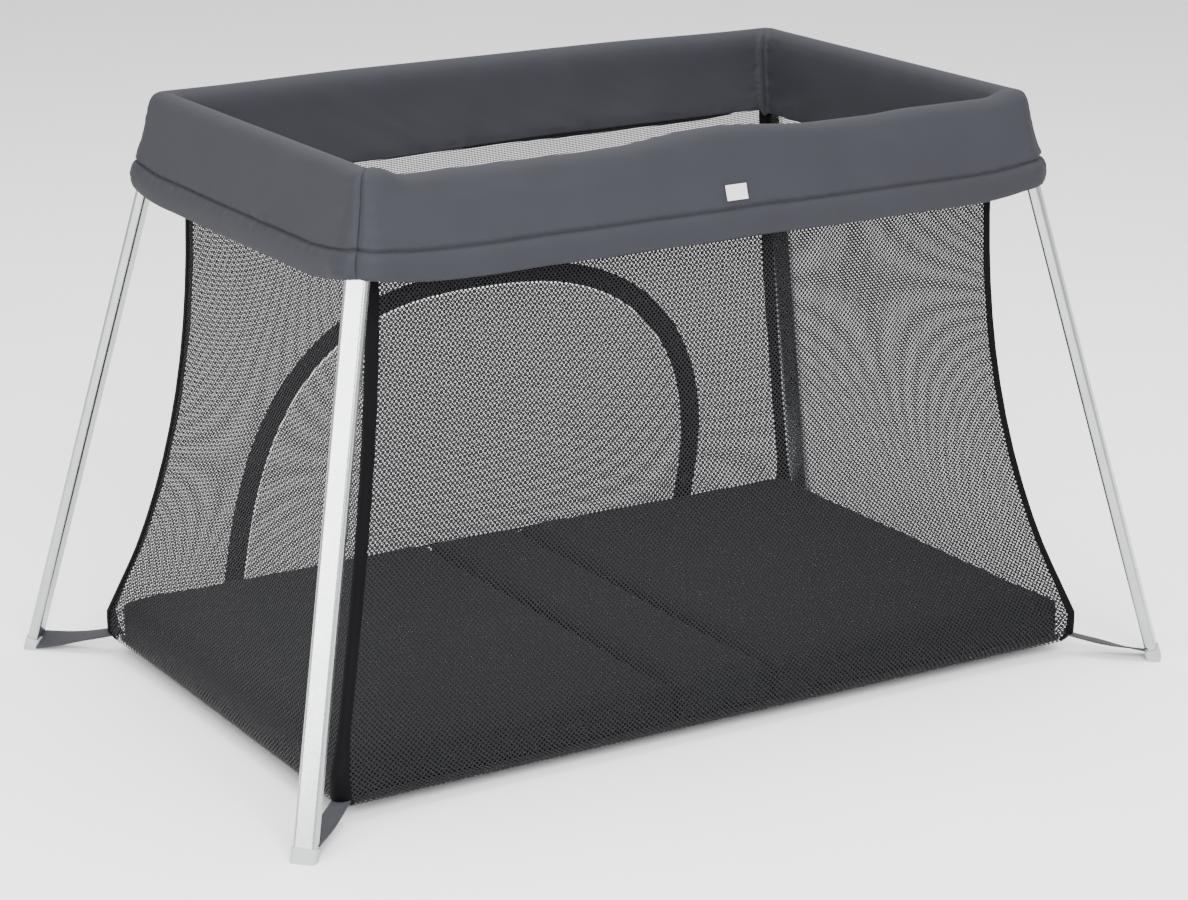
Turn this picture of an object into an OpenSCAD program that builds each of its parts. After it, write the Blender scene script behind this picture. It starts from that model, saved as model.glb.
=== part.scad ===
// Travel playpen: folding top frame on four splayed tube legs, with a hanging mesh bag,
// a zip door in the rear wall and a three-panel mattress.
// Millimetres, +Z up, floor at z = 0, length along X, front towards -Y.

/* [Stance] */
// Distance along the length from the middle to the centre of a foot
foot_x = 547; // [450:1:600]
// Distance across from the middle to the centre of a foot
foot_y = 359; // [280:1:420]
// How far a leg leans lengthways for each millimetre of height
lean_x = 0.2242; // [0.1:0.001:0.3]
// How far a leg leans sideways for each millimetre of height
lean_y = 0.1795; // [0.1:0.001:0.25]

/* [Top frame] */
// Height of the pins that the top frame folds on
fold_z = 652; // [600:1:700]
// Radius of the fold knuckles
knuckle_r = 7; // [6:0.5:10]
// Radius of the fold pins
fold_pin_r = 2.5; // [2:0.1:4]
// Outer diameter of the rails
rail_d = 18; // [16:1:22]
// Wall of the rail tubes
rail_wall = 1.4; // [1:0.1:2]
// Outer diameter of the plastic sleeves that hold the rails
sleeve_d = 22; // [20:1:26]
// Length of each sleeve
sleeve_length = 42; // [30:1:60]
// Length of each fold hinge block
block_length = 52; // [40:1:70]
// Radius of the fold release buttons
button_r = 5; // [4:0.5:6]

/* [Legs] */
// Height of the leg pivots
pivot_z = 613; // [580:1:620]
// Width of the leg section
leg_w = 25; // [20:0.5:30]
// Thickness of the leg section
leg_t = 13; // [10:0.5:18]
// Corner radius of the leg section
leg_corner = 4; // [2:0.5:6]
// Wall of the leg tubes
leg_wall = 1.4; // [1:0.1:2]
// Distance from the pivot to the top of the leg tube
leg_start = 12.6; // [12:0.1:20]
// Radius of the leg pivot pins
leg_pin_r = 3; // [2:0.1:4]
// Length of the foot caps
cap_length = 14; // [10:1:30]
// Wall of the foot caps
cap_wall = 1.5; // [1:0.1:3]

/* [Rim cover] */
// Thickness of the padded cover at its skirts
cover_t = 2; // [1:0.1:4]
// Height of the outer hem
hem_z = 552; // [520:1:600]
// How far the outer hem stands out from the rails
hem_out = 37.5; // [30:0.5:50]
// How far the cover stands out beside the rails
side_out = 17.5; // [15:0.5:24]
// Height of the hem of the inner skirt
inner_hem_z = 564; // [550:1:600]

/* [Mesh bag] */
// Height of the underside of the bag
bag_z = 16; // [5:1:40]
// Height of the top edge of the mesh
mesh_top = 563.5; // [540:0.5:600]
// Half the length of the bag at its top
bag_x = 390.9; // [350:0.1:420]
// Half the width of the bag at its top
bag_y = 224.7; // [200:0.1:260]
// How much further the ends reach out at the floor
flare_x = 93.1; // [0:0.1:120]
// How much further the sides reach out at the floor
flare_y = 80.9; // [0:0.1:120]
// Thickness of the mesh walls
mesh_t = 1.5; // [1:0.1:3]
// Width of the binding on the bag's corners
binding_w = 14; // [8:1:24]

/* [Zip door] */
// Half the width of the door opening at its foot
arch_half = 329; // [200:1:340]
// Height of the door's hinge line
door_z = 60; // [40:1:90]
// Height of the top of the arch
arch_top = 413; // [300:1:480]
// Width of the zip tape
tape_w = 26; // [15:1:40]

/* [Mattress] */
// Length of the mattress
mattress_l = 936; // [800:1:980]
// Width of the mattress
mattress_w = 574; // [500:1:600]
// Thickness of the mattress
mattress_t = 46; // [30:1:60]
// Where the left fold of the mattress is
left_fold = -60; // [-150:1:0]
// Where the right fold of the mattress is
right_fold = 65; // [0:1:150]

/* [Preview] */
// Roundness of the preview
roundness = 48; // [24:4:96]

/* [Hidden] */
$fn = roundness;
rail_z = fold_z - 2 - sleeve_d / 2;
rail_x = foot_x - lean_x * rail_z;
rail_y = foot_y - lean_y * rail_z;
pivot_x = foot_x - lean_x * pivot_z;
pivot_y = foot_y - lean_y * pivot_z;
tilt = atan(lean_y);
plane_drop = sqrt(1 + lean_y * lean_y);
lean = atan(lean_x / plane_drop);
leg_length = pivot_z * sqrt(1 + lean_x * lean_x + lean_y * lean_y);
tube_end = leg_length - 6;
// the pins run in the knuckles with this much play all round
play = 0.05;
cover_top = fold_z - 0.2;
plate_z = rail_z + sleeve_d / 2 + 0.2;
shoulder_z = rail_z + 1;
half_seam = 0.6;
bag_levels = [bag_z, 50, 75, 100, 130, 165, 200, 240, 280, 320, 360, 400, 440, 480, 520, mesh_top];
mattress_z = bag_z + 4;

// ---- colours ----
module silver() { color([0.78, 0.79, 0.80]) children(); }
module pale_plastic() { color([0.75, 0.78, 0.78]) children(); }
module dark_plastic() { color([0.16, 0.17, 0.18]) children(); }
module steel() { color([0.60, 0.61, 0.62]) children(); }
module slate() { color([0.30, 0.31, 0.34]) children(); }
module black_mesh() { color([0.08, 0.08, 0.09]) children(); }
module webbing() { color([0.20, 0.20, 0.22]) children(); }

// ---- placing ----
// Children are drawn for the rear right corner and mirrored to the corner named by the signs.
module corner(side_x, side_y)
    mirror([side_x < 0 ? 1 : 0, 0, 0]) mirror([0, side_y < 0 ? 1 : 0, 0]) children();

// Origin at a leg pivot, Y along the pivot pin, Z up in the plane that the leg swings in.
module at_pivot()
    translate([pivot_x, pivot_y, pivot_z]) rotate([tilt, 0, 0]) children();

// As at_pivot, but with Z along the leg and X and Y along the faces of its section.
module along_leg()
    at_pivot() rotate([0, -lean, 0]) rotate([0, 0, -45]) children();

// A profile drawn in (y, z), swept along X.
module sweep_x(from, to)
    translate([from, 0, 0]) rotate([90, 0, 90]) linear_extrude(to - from) children();

// A profile drawn in (x, z), swept along Y.
module sweep_y(from, to)
    translate([0, to, 0]) rotate([90, 0, 0]) linear_extrude(to - from) children();

module rounded(w, t, r) {
    square([w - 2 * r, t], center = true);
    square([w, t - 2 * r], center = true);
    for (x = [-1, 1], y = [-1, 1])
        translate([x * (w / 2 - r), y * (t / 2 - r)]) circle(r);
}

// ---- top frame ----
module tube_x(from, to)
    sweep_x(from, to) translate([rail_y, rail_z]) difference() {
        circle(d = rail_d);
        circle(d = rail_d - 2 * rail_wall);
    }

module half_rail(side_x, side_y)
    silver() corner(side_x, side_y) tube_x(block_length - 24, rail_x - 12);

module end_rail(side_x)
    silver() corner(side_x, 1) sweep_y(12 - rail_y, rail_y - 12) translate([rail_x, rail_z])
        difference() {
            circle(d = rail_d);
            circle(d = rail_d - 2 * rail_wall);
        }

module sleeves() {
    sweep_x(rail_x - sleeve_length, rail_x) translate([rail_y, rail_z]) circle(d = sleeve_d);
    sweep_y(rail_y - sleeve_length, rail_y) translate([rail_x, rail_z]) circle(d = sleeve_d);
    translate([rail_x, rail_y, rail_z - sleeve_d / 2]) cylinder(h = sleeve_d - 2.4, d = sleeve_d + 2);
}

module rail_sockets() {
    sweep_x(rail_x - sleeve_length - 1, rail_x - 12)
        translate([rail_y, rail_z]) circle(d = rail_d + 0.04);
    sweep_y(rail_y - sleeve_length - 1, rail_y - 12)
        translate([rail_x, rail_z]) circle(d = rail_d + 0.04);
}

// The two cheeks beside the leg's knuckle, joined outboard by the web that stops the splay.
module cheeks() {
    for (y = [-10.4, 6.2]) {
        translate([0, y, 0]) rotate([-90, 0, 0]) cylinder(h = 4.2, r = 11);
        translate([-11, y, 0]) cube([22, 4.2, 22]);
    }
    translate([10.5, -10.4, -8]) cube([3, 20.8, 26]);
}

// The room inside the cover at the corner.
module corner_room() {
    top_r = side_out - cover_t - 0.4;
    low_r = top_r + (hem_out - side_out) * (shoulder_z - 590) / (shoulder_z - hem_z);
    translate([rail_x, rail_y, 590]) cylinder(h = shoulder_z - 590, r1 = low_r, r2 = top_r);
    translate([rail_x - 60, rail_y - 60, 590]) cube([60, 60 + top_r, 60]);
    translate([rail_x - 60, rail_y - 60, 590]) cube([60 + top_r, 60, 60]);
}

module bracket(side_x, side_y)
    dark_plastic() corner(side_x, side_y) difference() {
        union() {
            sleeves();
            intersection() {
                at_pivot() cheeks();
                corner_room();
            }
        }
        rail_sockets();
        at_pivot() {
            rotate([90, 0, 0]) cylinder(h = 40, r = leg_pin_r + 0.02, center = true);
            rotate([90, 0, 0]) cylinder(h = 12.4, r = 10.4, center = true);
        }
    }

module hinge_block(side_x, side_y) {
    lobes = side_x < 0 ? [[-11, 5.8], [5.2, 5.8]] : [[-4.9, 9.8]];
    gaps = side_x < 0 ? [[-5.2, 10.4]] : [[-12, 7.1], [4.9, 7.1]];
    dark_plastic() corner(side_x, side_y) difference() {
        union() {
            translate([half_seam, rail_y - 11, rail_z - 10.5])
                cube([block_length - half_seam, 22, 19.8]);
            for (lobe = lobes)
                translate([0, rail_y + lobe[0], fold_z]) rotate([-90, 0, 0])
                    cylinder(h = lobe[1], r = knuckle_r);
        }
        for (gap = gaps)
            translate([0, rail_y + gap[0], fold_z]) rotate([-90, 0, 0])
                cylinder(h = gap[1], r = knuckle_r + 0.3);
        translate([0, rail_y, fold_z]) rotate([90, 0, 0])
            cylinder(h = 40, r = fold_pin_r + (side_x < 0 ? 0.02 : play), center = true);
        sweep_x(block_length - 24, block_length + 1)
            translate([rail_y, rail_z]) circle(d = rail_d + 0.04);
        if (side_x < 0)
            translate([17, rail_y - 12, rail_z]) rotate([-90, 0, 0])
                cylinder(h = 12, r = button_r + play);
    }
}

module fold_pin(side_y)
    steel() corner(1, side_y) translate([0, rail_y, fold_z]) rotate([90, 0, 0])
        cylinder(h = 22, r = fold_pin_r, center = true);

module fold_button(side_y)
    pale_plastic() corner(-1, side_y) translate([17, rail_y - 13, rail_z]) rotate([-90, 0, 0])
        cylinder(h = 10, r = button_r);

// ---- legs ----
module leg_pin(side_x, side_y)
    steel() corner(side_x, side_y) at_pivot() rotate([90, 0, 0])
        cylinder(h = 20.6, r = leg_pin_r, center = true);

module leg_section(grow)
    rounded(leg_w + 2 * grow, leg_t + 2 * grow, leg_corner + grow);

module leg_head(side_x, side_y)
    dark_plastic() corner(side_x, side_y) difference() {
        union() {
            at_pivot() {
                rotate([90, 0, 0]) cylinder(h = 12, r = 10, center = true);
                rotate([0, -lean, 0]) translate([-8, -6, -leg_start + 0.4]) cube([16, 12, 12]);
            }
            along_leg() translate([0, 0, -leg_start]) linear_extrude(0.6) leg_section(-0.6);
            along_leg() translate([0, 0, -leg_start - 34]) linear_extrude(34.4)
                rounded(leg_w - 2 * leg_wall - 0.04, leg_t - 2 * leg_wall - 0.04, 2.5);
        }
        at_pivot() rotate([90, 0, 0]) cylinder(h = 20, r = leg_pin_r + play, center = true);
    }

module leg_tube(side_x, side_y)
    silver() corner(side_x, side_y) along_leg() translate([0, 0, -tube_end])
        linear_extrude(tube_end - leg_start) difference() {
            leg_section(0);
            rounded(leg_w - 2 * leg_wall, leg_t - 2 * leg_wall, 2.6);
        }

module foot_cap(side_x, side_y)
    pale_plastic() corner(side_x, side_y) difference() {
        along_leg() translate([0, 0, -leg_length - 12]) linear_extrude(cap_length + 12)
            leg_section(cap_wall);
        along_leg() translate([0, 0, -tube_end]) linear_extrude(cap_length)
            leg_section(0.02);
        translate([foot_x - 60, foot_y - 60, -60]) cube([120, 120, 60]);
    }

// ---- rim cover ----
// The outer half of the cover's section, drawn as (distance out from the rail, height).
module outer_section() polygon([
    [0, plate_z], [0, cover_top], [10, cover_top], [14, cover_top - 2.3],
    [side_out, shoulder_z], [hem_out, hem_z], [hem_out - cover_t - 0.1, hem_z],
    [side_out - cover_t, shoulder_z - 0.4], [12.6, plate_z - 2], [9.6, plate_z]]);

// The inner half of the section, down to the rail's own height.
module inner_section() polygon([
    [0, plate_z], [0, cover_top], [-10, cover_top], [-14, cover_top - 2.3],
    [-15.5, shoulder_z], [-13.5, shoulder_z], [-12.6, plate_z - 2], [-9.6, plate_z]]);

// The region inside the inner skirt, grown by t, in (distance from the middle, height).
module skirt_region(rail, hem, t) polygon([
    [0, inner_hem_z - (t > 0 ? 0 : 5)], [hem + t - (t > 0 ? 0 : 0.5), inner_hem_z - (t > 0 ? 0 : 5)],
    [rail - 15.5 + t, shoulder_z + (t > 0 ? 0 : 0.01)], [0, shoulder_z + (t > 0 ? 0 : 0.01)]]);

// Everything beyond (end = 1) or before (end = -1) the mitre at the corner of the rails.
module mitre(end)
    linear_extrude(1000) translate([rail_x, rail_y]) rotate(45)
        translate([-500, end > 0 ? -700.05 : 0.05]) square([1000, 700]);

module inner_skirt()
    difference() {
        intersection() {
            sweep_x(half_seam, 500) skirt_region(rail_y, bag_y + 0.5, cover_t);
            sweep_y(0, 400) skirt_region(rail_x, bag_x - 1.5, cover_t);
        }
        intersection() {
            sweep_x(0, 500) skirt_region(rail_y, bag_y + 0.5, 0);
            sweep_y(-1, 400) skirt_region(rail_x, bag_x - 1.5, 0);
        }
    }

module long_cover(side_x, side_y)
    slate() corner(side_x, side_y) difference() {
        intersection() {
            union() {
                sweep_x(half_seam, rail_x) translate([rail_y, 0]) outer_section();
                sweep_x(half_seam, rail_x) translate([rail_y, 0]) inner_section();
                translate([rail_x, rail_y, 0]) rotate_extrude(angle = 90) outer_section();
                inner_skirt();
            }
            mitre(-1);
        }
        translate([-1, rail_y - 12, rail_z + 4]) cube([11, 24, 30]);
    }

module end_cover(side_x)
    slate() for (side_y = [-1, 1]) corner(side_x, side_y) intersection() {
        union() {
            sweep_y(0, rail_y) translate([rail_x, 0]) outer_section();
            sweep_y(0, rail_y) translate([rail_x, 0]) inner_section();
            translate([rail_x, rail_y, 0]) rotate_extrude(angle = 90) outer_section();
            inner_skirt();
        }
        mitre(1);
    }

// ---- mesh bag ----
function drop(z) = max(0, (560 - z) / 530);
function wall_x(z) = bag_x + flare_x * pow(drop(max(z, 50)), 2.106);
function wall_y(z) = bag_y + flare_y * pow(drop(max(z, 50)), 2.847);

// A strip of the end or side wall's section, between two distances from its outer face.
module end_strip(inner, outer) polygon(concat(
    [for (z = bag_levels) [wall_x(z) + outer, z]],
    [for (i = [len(bag_levels) - 1:-1:0]) [wall_x(bag_levels[i]) + inner, bag_levels[i]]]));

module side_strip(inner, outer) polygon(concat(
    [for (z = bag_levels) [wall_y(z) + outer, z]],
    [for (i = [len(bag_levels) - 1:-1:0]) [wall_y(bag_levels[i]) + inner, bag_levels[i]]]));

module side_wall() intersection() {
    sweep_x(-520, 520) side_strip(-mesh_t, 0);
    union() {
        sweep_y(0, 400) end_strip(-600, -binding_w - 0.2);
        mirror([1, 0, 0]) sweep_y(0, 400) end_strip(-600, -binding_w - 0.2);
    }
}

module end_wall(side_x)
    black_mesh() corner(side_x, 1) intersection() {
        sweep_y(-400, 400) end_strip(-mesh_t, 0);
        union() {
            sweep_x(300, 520) side_strip(-300, -binding_w - 0.2);
            mirror([0, 1, 0]) sweep_x(300, 520) side_strip(-300, -binding_w - 0.2);
        }
    }

module binding(side_x, side_y)
    webbing() corner(side_x, side_y) difference() {
        intersection() {
            sweep_x(300, 520) side_strip(-binding_w, 0.8);
            sweep_y(100, 400) end_strip(-binding_w, 0.8);
        }
        intersection() {
            sweep_x(299, 521) side_strip(-60, -mesh_t);
            sweep_y(99, 401) end_strip(-60, -mesh_t);
        }
    }

module base()
    webbing() translate([0, 0, bag_z]) linear_extrude(3.6)
        rounded(2 * (wall_x(bag_z) - mesh_t - 0.5), 2 * (wall_y(bag_z) - mesh_t - 0.5), 12);

// ---- zip door ----
// The arch, as half its width at each height, shrunk evenly by inset.
function arch_edge(inset) = [for (i = [0:24]) let (a = 90 * i / 24)
    [(arch_half - inset) * pow(cos(a), 2 / 2.35),
     door_z + (arch_top - door_z - inset) * pow(sin(a), 2 / 2.35)]];

// The arch runs straight down to foot where that is under the hinge line.
module arch(inset, foot) {
    edge = arch_edge(inset);
    below = foot < door_z ? [[-edge[0][0], foot], [edge[0][0], foot]] : [];
    polygon(concat(edge, [for (i = [23:-1:0]) [-edge[i][0], edge[i][1]]], below));
}

hinge_y = wall_y(door_z) - mesh_t / 2;

module mesh_side(side_y)
    black_mesh() corner(1, side_y) difference() {
        side_wall();
        if (side_y > 0)
            sweep_y(150, 400) arch(0, door_z - 2.6);
    }

module door_panel()
    black_mesh() {
        intersection() {
            sweep_x(-400, 400) side_strip(-mesh_t, 0);
            sweep_y(150, 400) arch(tape_w + 0.5, door_z);
        }
        sweep_x(-arch_half + tape_w + 0.5, arch_half - tape_w - 0.5)
            translate([hinge_y, door_z]) circle(1.6);
    }

module zip_tape()
    webbing() intersection() {
        sweep_x(-400, 400) side_strip(-mesh_t - 0.3, 0.3);
        difference() {
            sweep_y(150, 400) arch(0.1, door_z - 2.4);
            sweep_y(149, 401) arch(tape_w, door_z - 10);
        }
    }

slider_x = arch_half - tape_w / 2 - 2;
slider_z = door_z + 22;
slider_slope = atan((wall_y(slider_z - 8) - wall_y(slider_z + 8)) / 16);
bar_out = 5.2;

// Origin on the zip tape, Z up along the slope of the wall.
module on_slope()
    translate([slider_x, wall_y(slider_z) + 1, slider_z]) rotate([slider_slope, 0, 0]) children();

module zip_slider()
    steel() on_slope() {
        translate([-5, 0, -7]) cube([10, 3, 16]);
        for (x = [-5, 3.4])
            translate([x, 2, 4]) cube([1.6, 4.8, 4.4]);
        translate([-5, bar_out, 6.2]) rotate([0, 90, 0]) cylinder(h = 10, r = 1);
    }

module zip_pull()
    steel() on_slope() difference() {
        union() {
            translate([-3, bar_out, 6.2]) rotate([0, 90, 0]) cylinder(h = 6, r = 2.1);
            translate([-3, bar_out + 0.4, -24]) cube([6, 1.6, 29.5]);
        }
        translate([-10, bar_out, 6.2]) rotate([0, 90, 0]) cylinder(h = 20, r = 1 + play);
    }

// ---- mattress ----
module mattress(from, to)
    slate() translate([0, 0, mattress_z]) linear_extrude(mattress_t) intersection() {
        rounded(mattress_l, mattress_w, 22);
        translate([from, -400]) square([to - from, 800]);
    }

// ---- straps and label ----
strap_from = [wall_x(0) + 1.5, wall_y(0) + 1.5];
strap_dir = [foot_x - strap_from[0], foot_y - strap_from[1]];
strap_len = norm(strap_dir) - 17.5;

module strap(side_x, side_y)
    webbing() corner(side_x, side_y) translate([strap_from[0], strap_from[1], 12])
        rotate(atan2(strap_dir[1], strap_dir[0])) translate([0, -0.8, 0])
            cube([strap_len, 1.6, 22]);

label_x = 15;
label_z = 597;

// A small blank tab stitched to the middle of the front skirt.
module label() {
    slope = (hem_out - side_out) / (shoulder_z - hem_z);
    face = rail_y + side_out + (shoulder_z - label_z) * slope;
    color([0.78, 0.78, 0.76]) translate([label_x, -face, label_z]) rotate([90 - atan(slope), 0, 0])
        translate([-13, -8, 0.1]) cube([26, 16, 0.8]);
}

// ---- the parts ----
end_rail(-1);  // rail_left
end_rail(1);  // rail_right
half_rail(-1, -1);  // rail_front_left
half_rail(1, -1);  // rail_front_right
half_rail(-1, 1);  // rail_rear_left
half_rail(1, 1);  // rail_rear_right
bracket(-1, -1);  // bracket_front_left
bracket(1, -1);  // bracket_front_right
bracket(-1, 1);  // bracket_rear_left
bracket(1, 1);  // bracket_rear_right
leg_head(-1, -1);  // leg_head_front_left
leg_head(1, -1);  // leg_head_front_right
leg_head(-1, 1);  // leg_head_rear_left
leg_head(1, 1);  // leg_head_rear_right
leg_tube(-1, -1);  // leg_tube_front_left
leg_tube(1, -1);  // leg_tube_front_right
leg_tube(-1, 1);  // leg_tube_rear_left
leg_tube(1, 1);  // leg_tube_rear_right
foot_cap(-1, -1);  // foot_cap_front_left
foot_cap(1, -1);  // foot_cap_front_right
foot_cap(-1, 1);  // foot_cap_rear_left
foot_cap(1, 1);  // foot_cap_rear_right
leg_pin(-1, -1);  // leg_pin_front_left
leg_pin(1, -1);  // leg_pin_front_right
leg_pin(-1, 1);  // leg_pin_rear_left
leg_pin(1, 1);  // leg_pin_rear_right
hinge_block(-1, -1);  // hinge_block_front_left
hinge_block(1, -1);  // hinge_block_front_right
hinge_block(-1, 1);  // hinge_block_rear_left
hinge_block(1, 1);  // hinge_block_rear_right
fold_pin(-1);  // fold_pin_front
fold_pin(1);  // fold_pin_rear
fold_button(-1);  // fold_button_front
fold_button(1);  // fold_button_rear
end_cover(-1);  // cover_left
end_cover(1);  // cover_right
long_cover(-1, -1);  // cover_front_left
long_cover(1, -1);  // cover_front_right
long_cover(-1, 1);  // cover_rear_left
long_cover(1, 1);  // cover_rear_right
mesh_side(-1);  // mesh_front
mesh_side(1);  // mesh_rear
end_wall(-1);  // mesh_left
end_wall(1);  // mesh_right
union() { binding(-1, -1); binding(-1, 1); }  // bindings_left
union() { binding(1, -1); binding(1, 1); }  // bindings_right
base();
door_panel();
zip_tape();
zip_slider();
zip_pull();
mattress(-mattress_l, left_fold - 1);  // mattress_left
mattress(left_fold + 1, right_fold - 1);  // mattress_middle
mattress(right_fold + 1, mattress_l);  // mattress_right
strap(-1, -1);  // strap_front_left
strap(1, -1);  // strap_front_right
strap(-1, 1);  // strap_rear_left
strap(1, 1);  // strap_rear_right
label();
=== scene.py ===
import math

import bmesh
import bpy
import numpy as np
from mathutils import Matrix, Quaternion, Vector, noise


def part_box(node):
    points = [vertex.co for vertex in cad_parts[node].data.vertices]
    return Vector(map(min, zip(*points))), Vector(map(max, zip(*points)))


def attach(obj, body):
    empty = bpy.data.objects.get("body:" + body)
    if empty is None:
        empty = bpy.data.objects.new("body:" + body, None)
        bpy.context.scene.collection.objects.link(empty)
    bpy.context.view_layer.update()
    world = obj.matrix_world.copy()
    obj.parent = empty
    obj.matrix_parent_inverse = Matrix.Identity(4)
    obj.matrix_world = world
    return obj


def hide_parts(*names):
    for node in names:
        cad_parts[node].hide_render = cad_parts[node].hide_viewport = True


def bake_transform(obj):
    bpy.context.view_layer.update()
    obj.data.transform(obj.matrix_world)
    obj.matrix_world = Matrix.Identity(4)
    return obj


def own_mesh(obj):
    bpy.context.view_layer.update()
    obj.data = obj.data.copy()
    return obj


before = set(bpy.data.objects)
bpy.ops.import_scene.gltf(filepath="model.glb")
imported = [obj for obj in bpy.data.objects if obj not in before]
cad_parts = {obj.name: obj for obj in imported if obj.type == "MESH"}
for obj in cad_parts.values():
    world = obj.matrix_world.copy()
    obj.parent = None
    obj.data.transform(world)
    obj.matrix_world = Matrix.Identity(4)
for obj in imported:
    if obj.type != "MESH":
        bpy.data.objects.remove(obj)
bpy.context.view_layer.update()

MM = 0.001
QUADRANTS = [("front_left", -1, -1), ("front_right", 1, -1), ("rear_left", -1, 1), ("rear_right", 1, 1)]


# ---------------------------------------------------------------- facts from the CAD frame
def points_of(node):
    """The vertices of a CAD node as an array."""
    return np.array([v.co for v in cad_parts[node].data.vertices], float)


def wall_curve(node, axis):
    """How far a wall's outer face stands out at each height, from its CAD solid."""
    points = points_of(node)
    heights = np.unique(np.round(points[:, 2], 5))
    reach = [np.abs(points[np.abs(points[:, 2] - z) < 1e-4, axis]).max() for z in heights]
    return heights, np.array(reach)


END_CURVE = wall_curve("mesh_right", 0)
SIDE_CURVE = wall_curve("mesh_front", 1)
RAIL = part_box("rail_right")
RAIL_X = (RAIL[0].x + RAIL[1].x) / 2
RAIL_Z = (RAIL[0].z + RAIL[1].z) / 2
SIDE_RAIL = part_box("rail_rear_right")
RAIL_Y = (SIDE_RAIL[0].y + SIDE_RAIL[1].y) / 2
HEM_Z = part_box("cover_front_left")[0].z
MESH_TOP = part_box("mesh_front")[1].z
BAG_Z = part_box("mesh_front")[0].z


def smooth(a):
    """0 to 1, easing in and out."""
    a = np.clip(a, 0, 1)
    return a * a * (3 - 2 * a)


def end_at(z):
    """Distance of the end walls' outer face from the middle, at a height."""
    return float(np.interp(z, *END_CURVE))


def side_at(z):
    """Distance of the side walls' outer face from the middle, at a height."""
    return float(np.interp(z, *SIDE_CURVE))


# ---------------------------------------------------------------- mesh helpers
def new_object(name, vertices, faces, uvs=None, smooth_faces=True):
    """A mesh object in the scene. uvs holds one pair per vertex."""
    mesh = bpy.data.meshes.new(name)
    mesh.from_pydata([tuple(v) for v in vertices], [], faces)
    if uvs is not None:
        layer = mesh.uv_layers.new(name="UVMap")
        index = np.zeros(len(mesh.loops), np.int32)
        mesh.loops.foreach_get("vertex_index", index)
        layer.data.foreach_set("uv", np.array(uvs, np.float32)[index].ravel())
    mesh.validate()
    obj = bpy.data.objects.new(name, mesh)
    bpy.context.scene.collection.objects.link(obj)
    if smooth_faces:
        mesh.shade_smooth()
    return obj


def lengths(grid, axis):
    """Distance run along one axis of a grid of points, averaged across the other."""
    steps = np.linalg.norm(np.diff(grid, axis=axis), axis=2).mean(axis=1 - axis)
    return np.concatenate([[0], np.cumsum(steps)])


def loft(name, grid, keep=None, wrap=False):
    """A quad sheet over grid[i, j] with UVs in metres. keep(i, j) leaves faces out. wrap closes it in j."""
    grid = np.asarray(grid, float)
    rows, cols = grid.shape[:2]
    along, across = lengths(grid, 0), lengths(grid, 1)
    uvs = [(along[i], across[j]) for i in range(rows) for j in range(cols)]
    faces = []
    for i in range(rows - 1):
        for j in range(cols if wrap else cols - 1):
            if keep is None or keep(i, j):
                k = (j + 1) % cols
                faces.append((i * cols + j, (i + 1) * cols + j, (i + 1) * cols + k, i * cols + k))
    return new_object(name, grid.reshape(-1, 3), faces, uvs)


def drop_loose(obj):
    """Deletes vertices that belong to no face."""
    mesh = bmesh.new()
    mesh.from_mesh(obj.data)
    loose = [v for v in mesh.verts if not v.link_faces]
    bmesh.ops.delete(mesh, geom=loose, context="VERTS")
    mesh.to_mesh(obj.data)
    mesh.free()


def outward(obj):
    """Turns all faces to one consistent side."""
    mesh = bmesh.new()
    mesh.from_mesh(obj.data)
    bmesh.ops.recalc_face_normals(mesh, faces=mesh.faces)
    mesh.to_mesh(obj.data)
    mesh.free()


def modifier(obj, kind, **settings):
    """Adds a modifier with the given settings."""
    made = obj.modifiers.new(kind.title(), kind)
    for key, value in settings.items():
        setattr(made, key, value)
    return made


def apply_modifiers(obj):
    """Replaces the mesh by what its modifiers make of it."""
    graph = bpy.context.evaluated_depsgraph_get()
    made = bpy.data.meshes.new_from_object(obj.evaluated_get(graph))
    obj.modifiers.clear()
    obj.data = made
    return obj


def spline(points, n):
    """n points on a smooth curve through the given ones, evenly spaced."""
    points = np.asarray(points, float)
    padded = np.vstack([2 * points[0] - points[1], points, 2 * points[-1] - points[-2]])
    fine = []
    for i in range(1, len(padded) - 2):
        a, b, c, d = padded[i - 1:i + 3]
        for t in np.linspace(0, 1, 16, endpoint=False):
            fine.append(0.5 * (2 * b + (c - a) * t + (2 * a - 5 * b + 4 * c - d) * t * t
                               + (3 * b - a - 3 * c + d) * t ** 3))
    fine.append(points[-1])
    fine = np.array(fine)
    run = np.concatenate([[0], np.cumsum(np.linalg.norm(np.diff(fine, axis=0), axis=1))])
    at = np.linspace(0, run[-1], n)
    return np.stack([np.interp(at, run, fine[:, k]) for k in range(fine.shape[1])], axis=1)


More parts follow.
